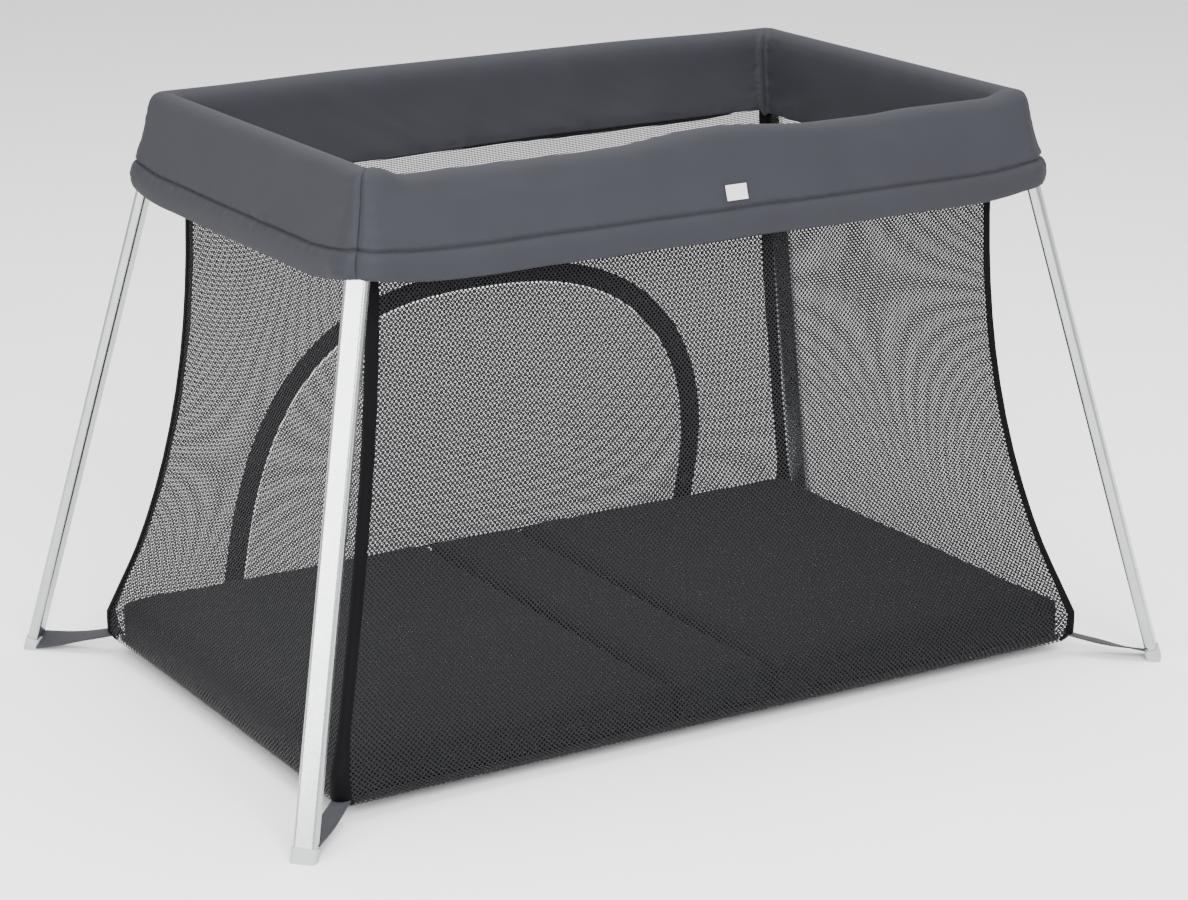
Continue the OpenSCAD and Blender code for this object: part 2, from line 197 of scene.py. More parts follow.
# ---------------------------------------------------------------- materials
class Nodes:
    """A small writer of shader node trees."""

    def __init__(self, name):
        self.material = bpy.data.materials.new(name)
        self.material.use_nodes = True
        self.tree = self.material.node_tree
        self.shader = self.tree.nodes["Principled BSDF"]
        self.output = self.tree.nodes["Material Output"]

    def add(self, kind, inputs=(), **settings):
        node = self.tree.nodes.new("ShaderNode" + kind)
        for key, value in settings.items():
            setattr(node, key, value)
        for key, value in dict(inputs).items():
            if isinstance(value, bpy.types.NodeSocket):
                self.tree.links.new(value, node.inputs[key])
            else:
                node.inputs[key].default_value = value
        return node

    def math(self, operation, a, b=0.0, c=0.0):
        return self.add("Math", {0: a, 1: b, 2: c}, operation=operation).outputs[0]

    def place(self, source, scale):
        """Coordinates in units of the given sizes, in metres."""
        kind = {"UV": ("UVMap", "UV"), "Object": ("TexCoord", "Object")}[source]
        where = self.add(kind[0]).outputs[kind[1]]
        size = tuple(1 / s for s in scale)
        return self.add("VectorMath", {0: where, 1: size}, operation="MULTIPLY").outputs[0]

    def noise(self, where, scale, detail=3.0, rough=0.5):
        made = self.add("TexNoise", {"Vector": where, "Scale": scale, "Detail": detail, "Roughness": rough})
        return made.outputs["Fac"]

    def ramp(self, value, stops):
        made = self.add("ValToRGB", {"Fac": value})
        elements = made.color_ramp.elements
        while len(elements) < len(stops):
            elements.new(0.5)
        for element, (at, colour) in zip(elements, stops):
            element.position = at
            element.color = (*colour, 1)
        return made.outputs["Color"]

    def mix(self, share, a, b):
        made = self.add("Mix", {0: share}, data_type="RGBA")
        for socket, value in ((made.inputs[6], a), (made.inputs[7], b)):
            if isinstance(value, bpy.types.NodeSocket):
                self.tree.links.new(value, socket)
            else:
                socket.default_value = (*value, 1)
        return made.outputs[2]

    def bump(self, height, distance, strength=1.0, normal=None):
        inputs = {"Height": height, "Distance": distance, "Strength": strength}
        if normal is not None:
            inputs["Normal"] = normal
        return self.add("Bump", inputs).outputs["Normal"]

    def surface(self, colour=None, roughness=None, normal=None, **fixed):
        for key, value in (("Base Color", colour), ("Roughness", roughness), ("Normal", normal)):
            if isinstance(value, bpy.types.NodeSocket):
                self.tree.links.new(value, self.shader.inputs[key])
            elif value is not None:
                self.shader.inputs[key].default_value = value
        for key, value in fixed.items():
            self.shader.inputs[key.replace("_", " ")].default_value = value
        return self.material


def weave_height(n, source, pitch):
    """The height of a plain weave, 0 to 1."""
    where = n.place(source, (pitch, pitch, pitch))
    split = n.add("SeparateXYZ", {0: where})
    first = n.math("SINE", n.math("MULTIPLY", split.outputs[0], 2 * math.pi))
    second = n.math("SINE", n.math("MULTIPLY", split.outputs[1], 2 * math.pi))
    return n.math("MULTIPLY_ADD", n.math("MULTIPLY", first, second), 0.5, 0.5)


def cloth_material(name, dark, light, source="UV", pitch=0.0011, rough=0.72, sheen=0.1, depth=0.0002,
                   relief=0.6, gloss=0.2):
    """Woven fabric: a fine weave, soft mottling and uneven roughness."""
    n = Nodes(name)
    where = n.place(source, (1, 1, 1))
    mottle = n.noise(where, 14, 4)
    fibre = n.noise(where, 900, 2)
    weave = weave_height(n, source, pitch)
    tone = n.math("MULTIPLY_ADD", fibre, 0.35, n.math("MULTIPLY", mottle, 0.65))
    colour = n.ramp(tone, [(0.3, dark), (0.7, light)])
    shaded = n.mix(n.math("MULTIPLY", weave, 0.25), colour, dark)
    height = n.math("MULTIPLY_ADD", fibre, 0.5, weave)
    soft = n.bump(n.noise(where, 22, 3), 0.0012, 0.5)
    roughness = n.math("MULTIPLY_ADD", mottle, 0.16, rough - 0.08)
    return n.surface(shaded, roughness, n.bump(height, depth, relief, soft), Sheen_Weight=sheen,
                     Sheen_Roughness=0.45, Specular_IOR_Level=gloss)


def net_material(name, turn, pitch=0.0054, hole=0.240):
    """Black knitted net with staggered round see-through holes, its rows turned by an angle in degrees."""
    n = Nodes(name)
    straight = n.place("UV", (pitch, pitch, pitch))
    turned = n.add("VectorRotate", {"Vector": straight, "Angle": math.radians(turn)}, rotation_type="Z_AXIS")
    where = turned.outputs[0]
    cell = (1.0, 1.06, 1.0)
    half = (0.5, 0.53, 0.5)
    nearest = None
    for shift in ((0, 0, 0), half):
        moved = n.add("VectorMath", {0: where, 1: shift}, operation="ADD").outputs[0]
        wrapped = n.add("VectorMath", {0: moved, 1: cell, 2: (0, 0, 0)}, operation="WRAP").outputs[0]
        centred = n.add("VectorMath", {0: wrapped, 1: half}, operation="SUBTRACT").outputs[0]
        in_plane = n.add("VectorMath", {0: centred, 1: (1, 1, 0)}, operation="MULTIPLY").outputs[0]
        away = n.add("VectorMath", {0: in_plane}, operation="LENGTH").outputs["Value"]
        nearest = away if nearest is None else n.math("MINIMUM", nearest, away)
    soft = 0.03
    thread = n.add("MapRange", {0: nearest, 1: hole - soft, 2: hole + soft, 3: 0.0, 4: 1.0}).outputs[0]
    fibre = n.noise(where, 6, 2)
    colour = n.ramp(fibre, [(0.3, (0.004, 0.004, 0.005)), (0.75, (0.012, 0.012, 0.014))])
    height = n.math("MULTIPLY_ADD", fibre, 0.4, thread)
    material = n.surface(colour, n.math("MULTIPLY_ADD", fibre, 0.2, 0.5), n.bump(height, 0.0004, 0.7),
                         Specular_IOR_Level=0.15)
    clear = n.add("BsdfTransparent").outputs[0]
    mixed = n.add("MixShader", {0: thread, 1: clear, 2: n.shader.outputs[0]})
    n.tree.links.new(mixed.outputs[0], n.output.inputs["Surface"])
    return material


def tube_material(name):
    """Satin aluminium tube with fine lines along the drawing direction and faint handling marks."""
    n = Nodes(name)
    fine = n.noise(n.place("Object", (0.004, 0.004, 0.4)), 8, 3)
    cloud = n.noise(n.place("Object", (1, 1, 1)), 30, 3)
    colour = n.ramp(cloud, [(0.3, (0.39, 0.40, 0.405)), (0.7, (0.44, 0.45, 0.455))])
    roughness = n.math("MULTIPLY_ADD", fine, 0.14, 0.20)
    return n.surface(colour, roughness, n.bump(fine, 0.00008, 0.3), Metallic=1.0)


def moulded_material(name, dark, light, rough=0.55):
    """Moulded plastic with a fine spark-eroded grain."""
    n = Nodes(name)
    where = n.place("Object", (1, 1, 1))
    grain = n.noise(where, 1400, 2)
    cloud = n.noise(where, 40, 3)
    colour = n.ramp(cloud, [(0.3, dark), (0.7, light)])
    return n.surface(colour, n.math("MULTIPLY_ADD", grain, 0.15, rough - 0.07), n.bump(grain, 0.0001, 0.35),
                     Specular_IOR_Level=0.4)


def steel_material(name):
    """Bright brushed steel."""
    n = Nodes(name)
    where = n.place("Object", (1, 1, 1))
    fine = n.noise(where, 700, 3)
    colour = n.ramp(fine, [(0.3, (0.42, 0.42, 0.43)), (0.7, (0.58, 0.58, 0.6))])
    roughness = n.math("MULTIPLY_ADD", fine, 0.2, 0.25)
    return n.surface(colour, roughness, n.bump(fine, 0.00005, 0.3), Metallic=1.0)


COVER = cloth_material("cover_cloth", (0.0165, 0.0170, 0.0215), (0.0215, 0.0222, 0.0280), pitch=0.0012,
                       sheen=0.02)
# The stitching thread is darker than the cover partly by its own colour and partly as painted shade along
# the sewn seams.
THREAD_WITH_SEAM_SHADE = cloth_material("thread", (0.009, 0.009, 0.012), (0.016, 0.017, 0.021), "Object", 0.0008, sheen=0.02)
NET = net_material("net", 0)
NET_BIAS = net_material("net_on_the_bias", 45, 0.0030)
WEBBING = cloth_material("webbing", (0.022, 0.022, 0.026), (0.040, 0.041, 0.047), pitch=0.0022, sheen=0.05,
                         depth=0.0005)
BLACK_TAPE = cloth_material("black_tape", (0.0015, 0.0015, 0.002), (0.004, 0.004, 0.005), pitch=0.0018,
                            sheen=0.0, gloss=0.06)
BINDING = cloth_material("binding_cloth", (0.0015, 0.0015, 0.002), (0.004, 0.004, 0.005), "Object", 0.0014,
                         sheen=0.0, gloss=0.06)
MATTRESS = cloth_material("mattress_cloth", (0.0085, 0.0085, 0.0110), (0.0135, 0.0135, 0.0170), "Object",
                          0.0022, 0.85, sheen=0.01, relief=0.25, gloss=0.14)
BASE_CLOTH = cloth_material("base_cloth", (0.012, 0.012, 0.014), (0.024, 0.024, 0.027), "Object", 0.0016,
                            sheen=0.0)
LABEL = cloth_material("label_cloth", (0.50, 0.50, 0.48), (0.62, 0.62, 0.60), "Object", 0.0007, sheen=0.1)
TUBE = tube_material("satin_tube")
FITTING = moulded_material("dark_fitting", (0.030, 0.031, 0.034), (0.045, 0.046, 0.050))
CAP = moulded_material("pale_cap", (0.32, 0.35, 0.35), (0.38, 0.41, 0.41), 0.5)
STEEL = steel_material("brushed_pin")


def dress(obj, material):
    """Gives an object its one material."""
    obj.data.materials.clear()
    obj.data.materials.append(material)
    return obj


CAD_LOOKS = [("rail_", TUBE), ("leg_tube_", TUBE), ("foot_cap_", CAP), ("fold_button_", CAP),
             ("bracket_", FITTING), ("leg_head_", FITTING), ("hinge_block_", FITTING),
             ("leg_pin_", STEEL), ("fold_pin_", STEEL), ("zip_", STEEL)]
for name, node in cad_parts.items():
    for prefix, material in CAD_LOOKS:
        if name.startswith(prefix):
            node.data.materials.clear()
            node.data.materials.append(material)


# ---------------------------------------------------------------- rim cover
# The cover's section as (distance out from the rail, height over the outer hem), in mm.
OUTER_FACE = [(36.4, -3.5), (38.8, -1.5), (39.8, 6), (39.6, 14), (37.8, 21), (34.6, 25.5), (30.8, 28),
              (33.0, 30.5), (33.0, 33), (30.4, 41), (25.6, 58), (21.6, 74), (18.6, 87), (17.0, 94),
              (14.6, 101), (10.4, 106.2), (4.6, 109.0), (-2.0, 109.4), (-8.2, 107.2), (-12.8, 102.4),
              (-15.4, 95.5), (-16.6, 88), (-17.2, 76), (-17.8, 50), (-18.2, 30), (-18.6, 16), (-18.2, 6)]
# How far each kind of unevenness moves the cloth: long slack, short creases, puckers at the seam, gathers
# beside the corner seam, the groove of that seam, the rise of the hem at the corners and its waver.
SLACK, CREASE, PUCKER, GATHER = 0.0026, 0.0011, 0.0017, 0.0022
SEAM_GROOVE, HEM_RISE, HEM_WAVER = 0.0016, 0.010, 0.0020
SEAM_RISE = 28


def plan_point(half_x, half_y, radius, quadrant, turn):
    """A point on a rounded rectangle's corner: turn runs from 0 on the end to 1 on the side."""
    radius = max(radius, 0.5 * MM)
    angle = turn * math.pi / 2
    x = half_x - radius + radius * math.cos(angle)
    y = half_y - radius + radius * math.sin(angle)
    return quadrant[0] * x, quadrant[1] * y


def corner_radius(out):
    """The plan radius of the cover's corner, at a distance out from the rail."""
    return out + 3 * MM if out > 6 * MM else 9 * MM + 4 * MM * smooth((6 * MM - out) / (20 * MM))


def along_side(kind, sign, samples):
    """Places along one cover, as (quadrant, turn) at its corners and a share of the straight between."""
    first = (sign, -1) if kind == "end" else (-1, sign)
    last = (sign, 1) if kind == "end" else (1, sign)
    flat_turn = 0.0 if kind == "end" else 1.0
    turns = np.linspace(0.5, flat_turn, 17)
    places = [(first, last, t, 0.0) for t in turns]
    places += [(first, last, flat_turn, s) for s in np.linspace(0, 1, samples + 1)[1:-1]]
    places += [(first, last, t, 1.0) for t in turns[::-1]]
    return places


def cover_grid(kind, sign, samples, profile):
    """The outer surface of one cover over its section's points."""
    rows = []
    for first, last, turn, share in along_side(kind, sign, samples):
        row = []
        for out, rise in profile:
            hang = float(smooth((80 - rise) / 74)) if out < 0 else 0.0
            out, z = out * MM, HEM_Z + rise * MM
            radius = corner_radius(out)
            half_x, half_y = RAIL_X + out + 0.002 * hang, RAIL_Y + out - 0.004 * hang
            a = plan_point(half_x, half_y, radius, first, turn)
            b = plan_point(half_x, half_y, radius, last, turn)
            row.append((a[0] + (b[0] - a[0]) * share, a[1] + (b[1] - a[1]) * share, z))
        rows.append(row)
    return np.array(rows)


def ridge_height(kind, sign, place):
    """How much the top of the cover stands above or below the section, along its length."""
    if kind == "end":
        return 0.001
    if sign > 0:
        return 0.0025 * float(smooth((0.36 - abs(place)) / 0.2)) + 0.001
    dip = 0.0100 if place < 0 else 0.0085 - 0.0025 * float(smooth((place - 0.2) / 0.06))
    span = float(smooth((0.392 - abs(place)) / 0.03) * smooth((abs(place) - 0.006) / 0.13))
    return 0.001 - dip * span


def skirt_lift(kind, sign, place):
    """How much shorter the inner skirt is than the section says, along its length."""
    if kind == "side" and sign > 0:
        return 0.003 + 0.005 * float(smooth((place + 0.15) / 0.25))
    return 0.004 if kind == "end" else 0.0


def soften_cover(grid, kind, sign, seed):
    """Gives the taut cover its sewn puckers, pulls at the corners and faint slack between them."""
    run = 0 if kind == "side" else 1
    along = lengths(grid, 0)
    half = np.abs(grid[:, :, run]).max()
    for i in range(grid.shape[0]):
        from_seam = min(along[i], along[-1] - along[i])
        free = 1 - math.exp(-((from_seam / 0.005) ** 2))
        near_seam = math.exp(-((from_seam / 0.022) ** 2)) * free
        valley = SEAM_GROOVE * math.exp(-((from_seam / 0.003) ** 2))
        for j in range(grid.shape[1]):
            x, y, z = grid[i, j]
            low = float(smooth((RAIL_Z - z) / (RAIL_Z - HEM_Z)))
            place = grid[i, j, run]
            pull = math.exp(-(((half - abs(place)) / 0.055) ** 2))
            outside = abs(x) > RAIL_X or abs(y) > RAIL_Y
            rise = (z - HEM_Z) / MM
            slack = noise.noise(Vector((place * 5.5, z * 9, seed)))
            crease = noise.noise(Vector((place * 21 + z * 30, z * 16, seed + 7)))
            pucker = noise.noise(Vector((place * 110, z * 25, seed + 3)))
            sewn = math.exp(-(((rise - (SEAM_RISE if outside else 8)) / 7) ** 2))
            gather = near_seam * noise.noise(Vector((z * 110, from_seam * 40, seed)))
            shift = slack * SLACK * low * (1 - pull) + crease * CREASE * (0.35 + low)
            shift = (shift + pucker * PUCKER * sewn) * free + gather * GATHER
            grid[i, j, 1 - run] += math.copysign(shift, grid[i, j, 1 - run])
            if outside:
                waver = HEM_WAVER * noise.noise(Vector((place * 9, seed, 3))) * free
                grid[i, j, 2] += (HEM_RISE * pull + waver) * low
            else:
                grid[i, j, 2] += skirt_lift(kind, sign, place) * float(smooth((60 - rise) / 50)) * free
            grid[i, j, 2] += ridge_height(kind, sign, place) * float(smooth((rise - 70) / 30))
            grid[i, j, 0] -= math.copysign(valley, x) * (1 if outside else -1)
            grid[i, j, 1] -= math.copysign(valley, y) * (1 if outside else -1)
    return grid


def cover_piece(name, kind, sign, samples, seed):
    """One cover as a sheet with thickness, and the grid of its outer surface."""
    profile = spline(OUTER_FACE, 110)
    grid = soften_cover(cover_grid(kind, sign, samples, profile), kind, sign, seed)
    obj = loft(name, grid)
    outward(obj)
    modifier(obj, "SOLIDIFY", thickness=0.0018, offset=-1.0, use_rim=True)
    return apply_modifiers(obj), grid


def stitches(name, path, normals, length=0.0032, gap=0.0014, width=0.0007):
    """A row of sewn stitches: small rounded beads of thread laid along a path."""
    path = np.asarray(path, float)
    run = np.concatenate([[0], np.cumsum(np.linalg.norm(np.diff(path, axis=0), axis=1))])
    starts = np.arange(gap, run[-1] - length, length + gap)
    vertices, faces = [], []
    for s in starts:
        ends = [np.array([np.interp(s + d, run, path[:, k]) for k in range(3)]) for d in (0, length)]
        up = np.array([np.interp(s, run, normals[:, k]) for k in range(3)])
        along = ends[1] - ends[0]
        along /= max(np.linalg.norm(along), 1e-9)
        side = np.cross(up, along)
        side /= max(np.linalg.norm(side), 1e-9)
        up = np.cross(along, side)
        base = len(vertices)
        for t, fat in ((0.0, 0.35), (0.2, 1.0), (0.8, 1.0), (1.0, 0.35)):
            centre = ends[0] + (ends[1] - ends[0]) * t
            for angle in np.arange(6) * math.pi / 3:
                vertices.append(centre + width / 2 * fat * (math.cos(angle) * side + math.sin(angle) * up))
        for ring in range(3):
            for k in range(6):
                a, b = base + ring * 6 + k, base + ring * 6 + (k + 1) % 6
                faces.append((a, b, b + 6, a + 6))
        faces.append(tuple(base + k for k in range(5, -1, -1)))
        faces.append(tuple(base + 18 + k for k in range(6)))
    # The thread's dark colour is partly painted shade in the seam.
    return dress(new_object(name, vertices, faces), THREAD_WITH_SEAM_SHADE)


def grid_normals(grid):
    """Unit normals of a grid of points, pointing away from the middle of the playpen."""
    du = np.gradient(grid, axis=0)
    dv = np.gradient(grid, axis=1)
    n = np.cross(du, dv)
    n /= np.maximum(np.linalg.norm(n, axis=2, keepdims=True), 1e-9)
    flat = grid.copy()
    flat[:, :, 2] = 0
    return n * np.sign((n * flat).sum(axis=2, keepdims=True) + 1e-12)


def row_at_rise(grid, rise):
    """The column of the outer face that is nearest to a height over the hem."""
    middle = grid[grid.shape[0] // 2]
    outer = np.arange(grid.shape[1] // 2)
    return int(outer[np.argmin(np.abs(middle[outer, 2] - (HEM_Z + rise * MM)))])


COVERS = [("rim_front", "side", -1, 200, ("cover_front_left", "cover_front_right")),
          ("rim_rear", "side", 1, 200, ("cover_rear_left", "cover_rear_right")),
          ("rim_left", "end", -1, 130, ("cover_left",)),
          ("rim_right", "end", 1, 130, ("cover_right",))]


def place_on_frame(obj, kind, sign):
    """Side pieces are baked where they stand; end pieces ride on their own half."""
    if kind == "side":
        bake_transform(obj)
    else:
        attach(obj, "root" if sign < 0 else "right_half")
    return obj


rim_grids = {}
for index, (name, kind, sign, samples, nodes) in enumerate(COVERS):
    piece, grid = cover_piece(name, kind, sign, samples, 11.3 * index)
    rim_grids[name] = grid
    dress(piece, COVER)
    place_on_frame(piece, kind, sign)
    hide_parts(*nodes)
    up = grid_normals(grid)
    for part, j in (("hem", row_at_rise(grid, SEAM_RISE)), ("skirt", grid.shape[1] - 4)):
        line = grid[:, j] + up[:, j] * 0.0003
        place_on_frame(stitches(f"{name}_{part}_stitches", line, up[:, j]), kind, sign)
    if kind == "end":
        outer = slice(4, grid.shape[1] // 2)
        for part, i in (("front", 0), ("rear", grid.shape[0] - 1)):
            line = grid[i, outer] + up[i, outer] * 0.0004
            place_on_frame(stitches(f"{name}_{part}_corner_stitches", line, up[i, outer]), kind, sign)


# ---------------------------------------------------------------- mesh bag
BAG_HEIGHTS = np.linspace(BAG_Z, MESH_TOP + 0.009, 44)
# How much of the corners' inward curve the middle of a wall loses, on the ends and on the sides.
END_SPREAD, SIDE_SPREAD = 0.3, 0.65


def bag_half(z, spread):
    """Half the bag's length and width at a height. spread is 0 at the corners and 1 at mid wall."""
    low, high = BAG_Z + 0.03, MESH_TOP
    share = np.clip((high - z) / (high - low), 0, 1)
    tuck = 0.007 * smooth((BAG_Z + 0.012 - z) / 0.012)
    straight_x = end_at(high) + (end_at(low) - end_at(high)) * share
    straight_y = side_at(high) + (side_at(low) - side_at(high)) * share
    x = end_at(z) + (straight_x - end_at(z)) * END_SPREAD * spread
    y = side_at(z) + (straight_y - side_at(z)) * SIDE_SPREAD * spread
    return x - tuck, y - tuck


def bag_point(first, last, turn, share, z):
    """A point on the bag: round the corner by turn, or along the wall by share."""
    half_x, half_y = bag_half(z, 0.0)
    mid_x, mid_y = bag_half(z, math.sin(math.pi * share))
    radius = 0.0045 + 0.0075 * smooth((0.10 - z) / 0.08)
    a = plan_point(half_x, half_y, radius, first, turn)
    b = plan_point(half_x, half_y, radius, last, turn)
    x, y = a[0] + (b[0] - a[0]) * share, a[1] + (b[1] - a[1]) * share
    if abs(turn - 1) < 1e-9:
        y += math.copysign(mid_y - half_y, y)
    elif abs(turn) < 1e-9:
        x += math.copysign(mid_x - half_x, x)
    to_corner = min(share, 1 - share) * math.hypot(b[0] - a[0], b[1] - a[1])
    pull = 0.003 * smooth((0.15 - z) / 0.13) * math.exp(-((to_corner / 0.045) ** 2))
    return x + math.copysign(pull, x), y + math.copysign(pull, y), z


def bag_places():
    """Places round the bag, as (quadrant pair, turn, share), starting at the rear left corner."""
    order = [((-1, 1), (1, 1), 1.0, 150), ((1, 1), (1, -1), 0.0, 90), ((1, -1), (-1, -1), 1.0, 150),
             ((-1, -1), (-1, 1), 0.0, 90)]
    places = []
    for first, last, flat_turn, samples in order:
        places += [(first, last, t, 0.0) for t in np.linspace(0.5, flat_turn, 7)[:-1]]
        places += [(first, last, flat_turn, s) for s in np.linspace(0, 1, samples + 1)]
        places += [(first, last, t, 1.0) for t in np.linspace(flat_turn, 0.5, 7)[1:-1]]
    return places


bag = np.array([[bag_point(*place, z) for z in BAG_HEIGHTS] for place in bag_places()])
DOOR_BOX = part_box("door_panel")
TAPE_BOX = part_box("zip_tape")
ARCH_HALF = TAPE_BOX[1].x
ARCH_TOP = TAPE_BOX[1].z
DOOR_Z = DOOR_BOX[0].z - 0.0030
TAPE_W = ARCH_HALF - DOOR_BOX[1].x
ARCH_POWER = 2.6


def arch_inside(x, z, inset):
    """True inside the door's arch, shrunk by inset."""
    if z < DOOR_Z:
        return False
    half, rise = ARCH_HALF - inset, ARCH_TOP - DOOR_Z - inset
    return (abs(x) / half) ** ARCH_POWER + ((z - DOOR_Z) / rise) ** ARCH_POWER < 1


def squashed(obj, body="root"):
    """Rides on a body, with a mesh of its own."""
    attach(obj, body)
    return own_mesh(obj)


def rear_depth(x, z):
    """Where the rear wall's sheet is, at a place along it and a height."""
    half_x, half_y = bag_half(z, 0.0)
    share = np.clip((x + half_x) / (2 * half_x), 0, 1)
    return bag_half(z, math.sin(math.pi * share))[1]


def net_walls():
    """The bag's net as one shell, with the door's arch left out of the rear wall."""
    def keep(i, j):
        k = (i + 1) % bag.shape[0]
        centre = (bag[i, j] + bag[k, j + 1] + bag[i, j + 1] + bag[k, j]) / 4
        return not (centre[1] > 0 and arch_inside(centre[0], centre[2], TAPE_W * 0.5))
    closed = np.concatenate([bag, bag[:1]])
    obj = loft("net_walls", closed, keep)
    drop_loose(obj)
    dress(obj, NET)
    obj.data.materials.append(NET_BIAS)
    for face in obj.data.polygons:
        x, y, z = face.center
        on_end = abs(x) / bag_half(z, 0.0)[0] > abs(y) / bag_half(z, 0.0)[1]
        face.material_index = int((x > 0) if on_end else (y > 0))
    squashed(obj)
    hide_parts("mesh_front", "mesh_rear", "mesh_left", "mesh_right")


def arch_edge(inset, count):
    """Points along the arch, shrunk by inset, from its right foot to its left."""
    half, rise = ARCH_HALF - inset, ARCH_TOP - DOOR_Z - inset
    turn = np.linspace(0, math.pi, count)
    x = half * np.sign(np.cos(turn)) * np.abs(np.cos(turn)) ** (2 / ARCH_POWER)
    z = DOOR_Z + rise * np.sin(turn) ** (2 / ARCH_POWER)
    return x, z


def door_net():
    """The door's own net: rows of points sinking from the arch's edge to a line along its foot."""
    x_edge, z_edge = arch_edge(TAPE_W + 0.0006, 121)
    grid = []
    for drop in np.linspace(0, 1, 28):
        heights = DOOR_Z + (z_edge - DOOR_Z) * (1 - drop)
        grid.append([(x, rear_depth(x, z) - 0.0002, z) for x, z in zip(x_edge, heights)])
    obj = loft("door_net", np.array(grid)[:, 1:-1])
    uv = obj.data.uv_layers["UVMap"].data
    for loop in obj.data.loops:
        co = obj.data.vertices[loop.vertex_index].co
        uv[loop.index].uv = (co.x, co.z * 1.02)
    dress(obj, NET_BIAS)
    squashed(obj, "door")
    return obj


def ribbon(name, path, normals, width, thickness, material, across=7, crown=0.3):
    """A flat strip of webbing along a path, a little crowned across, with selvedges."""
    path, normals = np.asarray(path, float), np.asarray(normals, float)
    along = np.gradient(path, axis=0)
    along /= np.linalg.norm(along, axis=1, keepdims=True)
    side = np.cross(normals, along)
    side /= np.linalg.norm(side, axis=1, keepdims=True)
    up = np.cross(along, side)
    widths = np.broadcast_to(width, (len(path),))
    grid = []
    for j in np.linspace(-0.5, 0.5, across):
        lift = thickness * (crown * (1 - (2 * j) ** 2))
        grid.append(path + side * (j * widths)[:, None] + up * lift)
    obj = loft(name, np.array(grid).transpose(1, 0, 2))
    modifier(obj, "SOLIDIFY", thickness=thickness, offset=0.0, use_rim=True)
    modifier(obj, "BEVEL", width=thickness * 0.3, segments=2, limit_method="ANGLE", angle_limit=1.0)
    apply_modifiers(obj)
    return dress(obj, material)


def corner_bindings():
    """The stitched strips that turn each corner of the bag, from the end wall onto the side wall."""
    for quadrant, sx, sy in QUADRANTS:
        here, beside, across = (sx, sy), (sx, -sy), (-sx, sy)
        grid = []
        for z in np.linspace(BAG_Z + 0.003, MESH_TOP + 0.004, 70):
            width = 0.0042 + 0.0010 * float(smooth((z - 0.1) / 0.4))
            half_x, half_y = bag_half(z, 0.0)
            row = [bag_point(here, beside, 0.0, width * k / 4 / (2 * half_y), z) for k in (4, 3, 2, 1)]
            row += [bag_point(here, here, t, 0.0, z) for t in np.linspace(0, 1, 7)]
            row += [bag_point(here, across, 1.0, width * k / 4 / (2 * half_x), z) for k in (1, 2, 3, 4)]
            grid.append(row)
        strip = loft(f"binding_{quadrant}", np.array(grid))
        modifier(strip, "SOLIDIFY", thickness=0.0026, offset=0.0, use_rim=True)
        modifier(strip, "BEVEL", width=0.0006, segments=2, limit_method="ANGLE", angle_limit=1.0)
        dress(apply_modifiers(strip), BINDING)
        squashed(strip)
        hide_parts("bindings_left" if sx < 0 else "bindings_right")


def door_tape():
    """The black zip tape round the arch, and the zip's coil."""
    x, z = arch_edge(TAPE_W / 2, 121)
    path = np.array([(px, rear_depth(px, pz) + 0.0004, pz) for px, pz in zip(x, z)])
    normals = np.tile((0, 1.0, 0.25), (len(path), 1))
    tape = ribbon("zip_tape_cloth", path, normals, TAPE_W - 0.001, 0.0012, BLACK_TAPE)
    squashed(tape)
    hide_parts("zip_tape")
    x, z = arch_edge(TAPE_W - 0.003, 121)
    path = np.array([(px, rear_depth(px, pz) + 0.0016, pz) for px, pz in zip(x, z)])
    coil = ribbon("zip_coil", path, normals, 0.0042, 0.0016, BLACK_TAPE, across=5, crown=0.5)
    squashed(coil)


def piped_edge(name, path, radius, material, body="root"):
    """A round sewn edge along a path."""
    path = np.asarray(path, float)
    along = np.gradient(path, axis=0)
    along /= np.linalg.norm(along, axis=1, keepdims=True)
    ref = np.array((0.0, 0.0, 1.0)) if abs(along[0][2]) < 0.9 else np.array((0.0, 1.0, 0.0))
    side = np.cross(ref, along)
    side /= np.linalg.norm(side, axis=1, keepdims=True)
    up = np.cross(along, side)
    grid = []
    for angle in np.linspace(0, 2 * math.pi, 9)[:-1]:
        grid.append(path + radius * (math.cos(angle) * side + math.sin(angle) * up))
    obj = loft(name, np.array(grid).transpose(1, 0, 2), wrap=True)
    dress(obj, material)
    return squashed(obj, body)


net_walls()
net_door = door_net()
corner_bindings()
door_tape()
hinge_line = [(x, rear_depth(x, DOOR_Z), DOOR_Z) for x in np.linspace(DOOR_BOX[0].x, DOOR_BOX[1].x, 80)]
door_foot = piped_edge("door_foot", hinge_line, 0.0016, BLACK_TAPE, "door")
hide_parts("door_panel")


# ---------------------------------------------------------------- base and mattress
def rounded_slab(name, low, high, radii, edge):
    """A closed slab with rounded edges. radii are those of its plan's corners, at low x and at high x."""
    mesh = bmesh.new()
    bmesh.ops.create_cube(mesh, size=1)
    for v in mesh.verts:
        for k in range(3):
            v.co[k] = low[k] if v.co[k] < 0 else high[k]
    for at, radius in zip((low.x, high.x), radii):
        upright = [e for e in mesh.edges if abs(e.verts[0].co.z - e.verts[1].co.z) > 1e-6
                   and max(abs(v.co.x - at) for v in e.verts) < 1e-6]
        bmesh.ops.bevel(mesh, geom=upright, offset=radius, segments=6, affect="EDGES", profile=0.5)
    rim = [e for e in mesh.edges if abs(e.verts[0].co.z - e.verts[1].co.z) < 1e-6]
    bmesh.ops.bevel(mesh, geom=rim, offset=edge, segments=3, affect="EDGES", profile=0.5)
    data = bpy.data.meshes.new(name)
    mesh.to_mesh(data)
    mesh.free()
    obj = bpy.data.objects.new(name, data)
    bpy.context.scene.collection.objects.link(obj)
    data.shade_smooth()
    return obj


